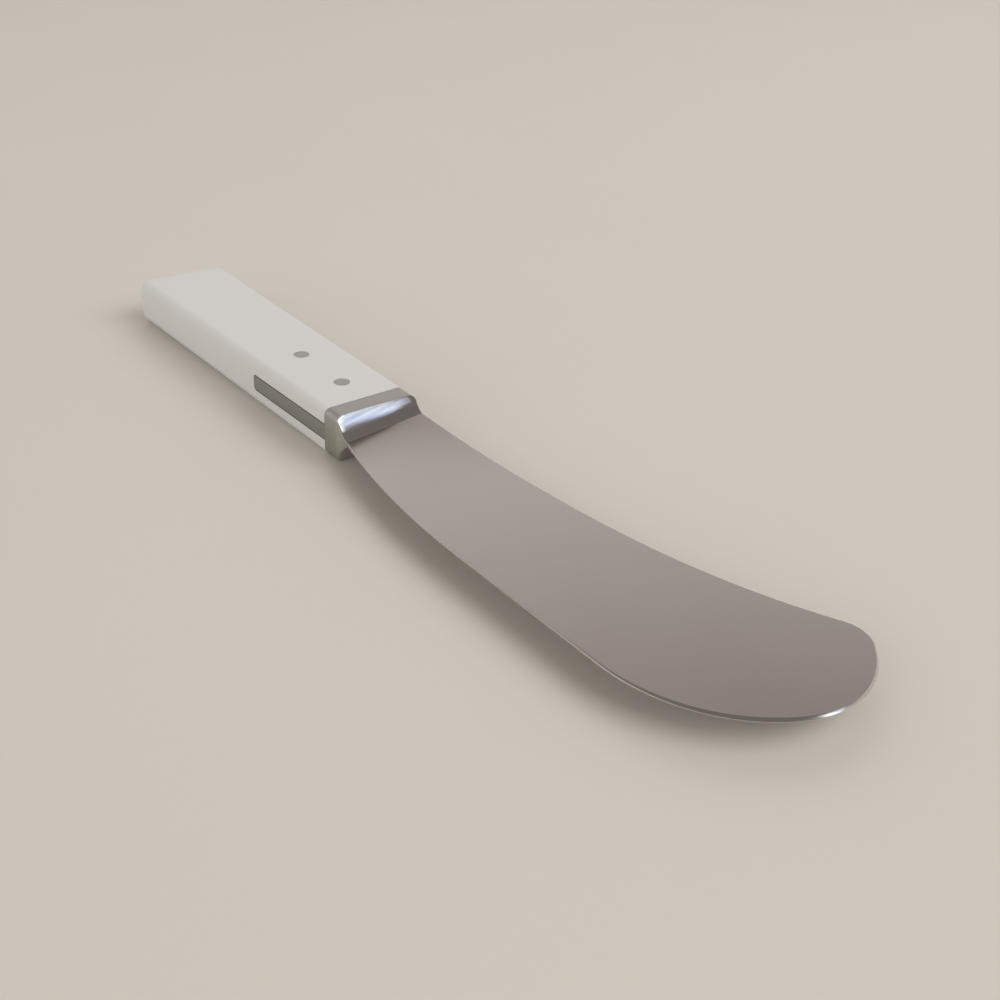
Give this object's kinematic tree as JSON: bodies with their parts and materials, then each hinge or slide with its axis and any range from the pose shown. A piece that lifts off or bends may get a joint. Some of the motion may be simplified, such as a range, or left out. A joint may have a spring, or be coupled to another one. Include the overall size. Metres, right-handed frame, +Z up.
{
  "type": "butter knife",
  "caption": "Butter knife with a broad, thin, upswept steel blade, a hollow-fronted bolster and a white plastic handle riveted to a half tang; lies on its side.",
  "frame": {"origin": "on the underside of the knife as it lies on its side, on the centre line, at the joint of handle and bolster", "axes": "+X from the handle towards the tip, +Y towards the spine, +Z up, square to the flat of the blade"},
  "size_m": [0.2238, 0.0464, 0.0118],
  "materials": {
    "steel": "fine satin polish on the blade, bright polish on the bolster",
    "plastic": "white moulded and milled handle plastic, smooth, low gloss",
    "rivet_steel": "steel rivet ground flush with the handle"
  },
  "bodies": {
    "root": {"blade": "steel", "handle": "plastic", "front_rivet": "rivet_steel", "rear_rivet": "rivet_steel"}
  },
  "joints": []
}
